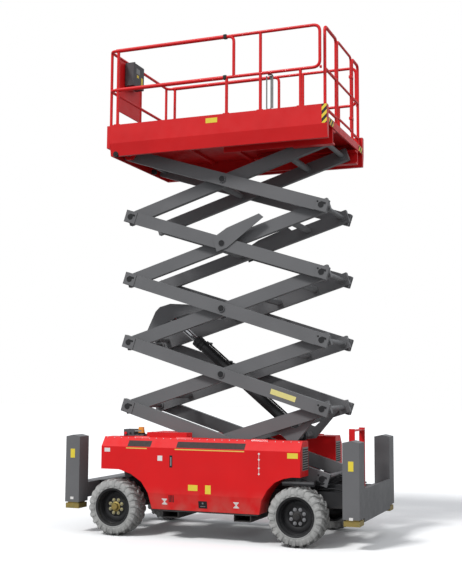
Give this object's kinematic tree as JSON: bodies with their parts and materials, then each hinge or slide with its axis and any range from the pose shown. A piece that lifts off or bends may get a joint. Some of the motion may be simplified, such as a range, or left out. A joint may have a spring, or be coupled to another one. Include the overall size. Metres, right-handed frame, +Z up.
{
  "type": "diesel rough-terrain scissor lift",
  "caption": "Self-propelled scissor lift, partly raised, with stacked arms, a lift cylinder, sliding deck extension, guardrails, outriggers and steered wheels.",
  "frame": {"origin": "on the ground, at the middle of the overall length and width", "axes": "+X to the machine's front, where it steers, +Y to its left, +Z up"},
  "size_m": [3.675, 1.79, 6.001],
  "materials": {
    "frame_black": "satin",
    "engine": "matte",
    "red_paint": "gloss",
    "grey_paint": "satin",
    "rim_paint": "satin",
    "tyre": "matte",
    "gold": "zinc plated, satin",
    "rod_chrome": "polished",
    "box_grey": "matte",
    "amber": "gloss"
  },
  "bodies": {
    "chassis": {"chassis_frame": "frame_black", "engine_block": "engine", "valve_block": "engine", "front_axle": "frame_black", "rear_axle": "frame_black", "left_enclosure": "red_paint", "right_enclosure": "red_paint", "left_fender_bar": "frame_black", "right_fender_bar": "frame_black", "rear_ladder": "red_paint", "ground_control_box": "box_grey", "beacon": "amber", "front_outrigger_frame": "grey_paint", "rear_outrigger_frame": "grey_paint"},
    "inner_arms_1": {"inner_arms_1": "grey_paint"},
    "outer_arms_1": {"outer_arms_1": "grey_paint"},
    "inner_arms_2": {"inner_arms_2": "grey_paint"},
    "outer_arms_2": {"outer_arms_2": "grey_paint"},
    "inner_arms_3": {"inner_arms_3": "grey_paint"},
    "outer_arms_3": {"outer_arms_3": "grey_paint"},
    "inner_arms_4": {"inner_arms_4": "grey_paint"},
    "outer_arms_4": {"outer_arms_4": "grey_paint"},
    "inner_arms_5": {"inner_arms_5": "grey_paint"},
    "outer_arms_5": {"outer_arms_5": "grey_paint"},
    "cylinder_barrel": {"cylinder_barrel": "frame_black"},
    "cylinder_rod": {"cylinder_rod": "rod_chrome"},
    "platform": {"main_deck": "red_paint", "left_guardrail": "red_paint", "right_guardrail": "red_paint", "rear_guardrail_left": "red_paint", "rear_guardrail_right": "red_paint"},
    "entry_gate": {"entry_gate": "red_paint"},
    "extension": {"extension_deck": "red_paint", "extension_guardrail": "red_paint", "platform_control_box": "box_grey"},
    "left_cover": {"left_cover": "red_paint"},
    "right_cover": {"right_cover": "red_paint"},
    "left_knuckle": {"left_steering_knuckle": "frame_black"},
    "right_knuckle": {"right_steering_knuckle": "frame_black"},
    "tie_rod": {"tie_rod": "frame_black"},
    "front_left_wheel": {"front_left_tyre": "tyre", "front_left_rim": "rim_paint"},
    "front_right_wheel": {"front_right_tyre": "tyre", "front_right_rim": "rim_paint"},
    "rear_left_wheel": {"rear_left_tyre": "tyre", "rear_left_rim": "rim_paint"},
    "rear_right_wheel": {"rear_right_tyre": "tyre", "rear_right_rim": "rim_paint"},
    "front_left_outrigger_leg": {"front_left_outrigger_leg": "gold"},
    "front_right_outrigger_leg": {"front_right_outrigger_leg": "gold"},
    "rear_left_outrigger_leg": {"rear_left_outrigger_leg": "gold"},
    "rear_right_outrigger_leg": {"rear_right_outrigger_leg": "gold"}
  },
  "joints": [
    {"name": "scissor_fold", "type": "hinge", "parent": "chassis", "child": "inner_arms_1", "pos_m": [1.1795, 0, 0.74], "axis": [0, 1, 0], "range_deg": [-13.2, 39.4]},
    {"name": "outer_arms_2_fold", "type": "hinge", "parent": "inner_arms_1", "child": "outer_arms_2", "pos_m": [-1.31786, 0, 1.53221], "axis": [0, 1, 0], "range_deg": [-78.8, 26.4]},
    {"name": "inner_arms_3_fold", "type": "hinge", "parent": "outer_arms_2", "child": "inner_arms_3", "pos_m": [1.1795, 0, 2.32442], "axis": [0, 1, 0], "range_deg": [-26.4, 78.8]},
    {"name": "outer_arms_4_fold", "type": "hinge", "parent": "inner_arms_3", "child": "outer_arms_4", "pos_m": [-1.31786, 0, 3.11663], "axis": [0, 1, 0], "range_deg": [-78.8, 26.4]},
    {"name": "inner_arms_5_fold", "type": "hinge", "parent": "outer_arms_4", "child": "inner_arms_5", "pos_m": [1.1795, 0, 3.90884], "axis": [0, 1, 0], "range_deg": [-26.4, 78.8]},
    {"name": "outer_arms_5_fold", "type": "hinge", "parent": "inner_arms_5", "child": "outer_arms_5", "pos_m": [-0.06918, 0, 4.30494], "axis": [0, 1, 0], "range_deg": [-78.8, 26.4]},
    {"name": "outer_arms_1_fold", "type": "hinge", "parent": "inner_arms_1", "child": "outer_arms_1", "pos_m": [-0.06918, 0, 1.1361], "axis": [0, 1, 0], "range_deg": [-78.8, 26.4]},
    {"name": "inner_arms_2_fold", "type": "hinge", "parent": "outer_arms_2", "child": "inner_arms_2", "pos_m": [-0.06918, 0, 1.92831], "axis": [0, 1, 0], "range_deg": [-26.4, 78.8]},
    {"name": "outer_arms_3_fold", "type": "hinge", "parent": "inner_arms_3", "child": "outer_arms_3", "pos_m": [-0.06918, 0, 2.72052], "axis": [0, 1, 0], "range_deg": [-78.8, 26.4]},
    {"name": "inner_arms_4_fold", "type": "hinge", "parent": "outer_arms_4", "child": "inner_arms_4", "pos_m": [-0.06918, 0, 3.51273], "axis": [0, 1, 0], "range_deg": [-26.4, 78.8]},
    {"name": "platform_level", "type": "hinge", "parent": "outer_arms_5", "child": "platform", "pos_m": [1.1795, 0, 4.70105], "axis": [0, 1, 0], "range_deg": [-13.2, 39.4]},
    {"name": "cylinder_tilt", "type": "hinge", "parent": "inner_arms_1", "child": "cylinder_barrel", "pos_m": [-0.91127, 0, 1.19341], "axis": [0, 1, 0], "range_deg": [-71.18, 23.85]},
    {"name": "cylinder_stroke", "type": "slide", "parent": "cylinder_barrel", "child": "cylinder_rod", "axis": [0.7664, 0, 0.6424], "range_m": [-0.40267, 1.20172]},
    {"name": "gate_hinge", "type": "hinge", "parent": "platform", "child": "entry_gate", "pos_m": [-1.4375, -0.415, 5.47], "axis": [0, 0, -1], "range_deg": [0, 90]},
    {"name": "deck_extension", "type": "slide", "parent": "platform", "child": "extension", "axis": [1, 0, 0], "range_m": [0, 0.95]},
    {"name": "left_cover_hinge", "type": "hinge", "parent": "chassis", "child": "left_cover", "pos_m": [0.0425, 0.8, 1.179], "axis": [1, 0, 0], "range_deg": [0, 95]},
    {"name": "right_cover_hinge", "type": "hinge", "parent": "chassis", "child": "right_cover", "pos_m": [0.0425, -0.8, 1.179], "axis": [-1, 0, 0], "range_deg": [0, 95]},
    {"name": "steer_left", "type": "hinge", "parent": "chassis", "child": "left_knuckle", "pos_m": [1.1875, 0.6, 0.338], "axis": [0, 0, 1], "range_deg": [-30, 30]},
    {"name": "steer_right", "type": "hinge", "parent": "chassis", "child": "right_knuckle", "pos_m": [1.1875, -0.6, 0.338], "axis": [0, 0, 1], "range_deg": [-30, 30]},
    {"name": "tie_rod_pivot", "type": "hinge", "parent": "left_knuckle", "child": "tie_rod", "pos_m": [1.0675, 0.6, 0.308], "axis": [0, 0, 1], "range_deg": [-30, 30]},
    {"name": "front_left_wheel_spin", "type": "hinge", "parent": "left_knuckle", "child": "front_left_wheel", "pos_m": [1.1875, 0.745, 0.338], "axis": [0, 1, 0], "continuous": true},
    {"name": "front_right_wheel_spin", "type": "hinge", "parent": "right_knuckle", "child": "front_right_wheel", "pos_m": [1.1875, -0.745, 0.338], "axis": [0, 1, 0], "continuous": true},
    {"name": "rear_left_wheel_spin", "type": "hinge", "parent": "chassis", "child": "rear_left_wheel", "pos_m": [-1.1025, 0.745, 0.338], "axis": [0, 1, 0], "continuous": true},
    {"name": "rear_right_wheel_spin", "type": "hinge", "parent": "chassis", "child": "rear_right_wheel", "pos_m": [-1.1025, -0.745, 0.338], "axis": [0, 1, 0], "continuous": true},
    {"name": "front_left_outrigger_slide", "type": "slide", "parent": "chassis", "child": "front_left_outrigger_leg", "axis": [0, 0, -1], "range_m": [0, 0.4]},
    {"name": "front_right_outrigger_slide", "type": "slide", "parent": "chassis", "child": "front_right_outrigger_leg", "axis": [0, 0, -1], "range_m": [0, 0.4]},
    {"name": "rear_left_outrigger_slide", "type": "slide", "parent": "chassis", "child": "rear_left_outrigger_leg", "axis": [0, 0, -1], "range_m": [0, 0.4]},
    {"name": "rear_right_outrigger_slide", "type": "slide", "parent": "chassis", "child": "rear_right_outrigger_leg", "axis": [0, 0, -1], "range_m": [0, 0.4]}
  ],
  "couplings": [
    {"joint": "outer_arms_2_fold", "follows": "scissor_fold", "ratio": -2},
    {"joint": "inner_arms_3_fold", "follows": "scissor_fold", "ratio": 2},
    {"joint": "outer_arms_4_fold", "follows": "scissor_fold", "ratio": -2},
    {"joint": "inner_arms_5_fold", "follows": "scissor_fold", "ratio": 2},
    {"joint": "outer_arms_5_fold", "follows": "scissor_fold", "ratio": -2},
    {"joint": "outer_arms_1_fold", "follows": "scissor_fold", "ratio": -2},
    {"joint": "inner_arms_2_fold", "follows": "scissor_fold", "ratio": 2},
    {"joint": "outer_arms_3_fold", "follows": "scissor_fold", "ratio": -2},
    {"joint": "inner_arms_4_fold", "follows": "scissor_fold", "ratio": 2},
    {"joint": "platform_level", "follows": "scissor_fold", "ratio": 1},
    {"joint": "cylinder_tilt", "follows": "scissor_fold", "ratio": -1.8065},
    {"joint": "cylinder_stroke", "follows": "scissor_fold", "m_per_rad": 1.7474},
    {"joint": "steer_right", "follows": "steer_left", "ratio": 1},
    {"joint": "tie_rod_pivot", "follows": "steer_left", "ratio": -1}
  ]
}
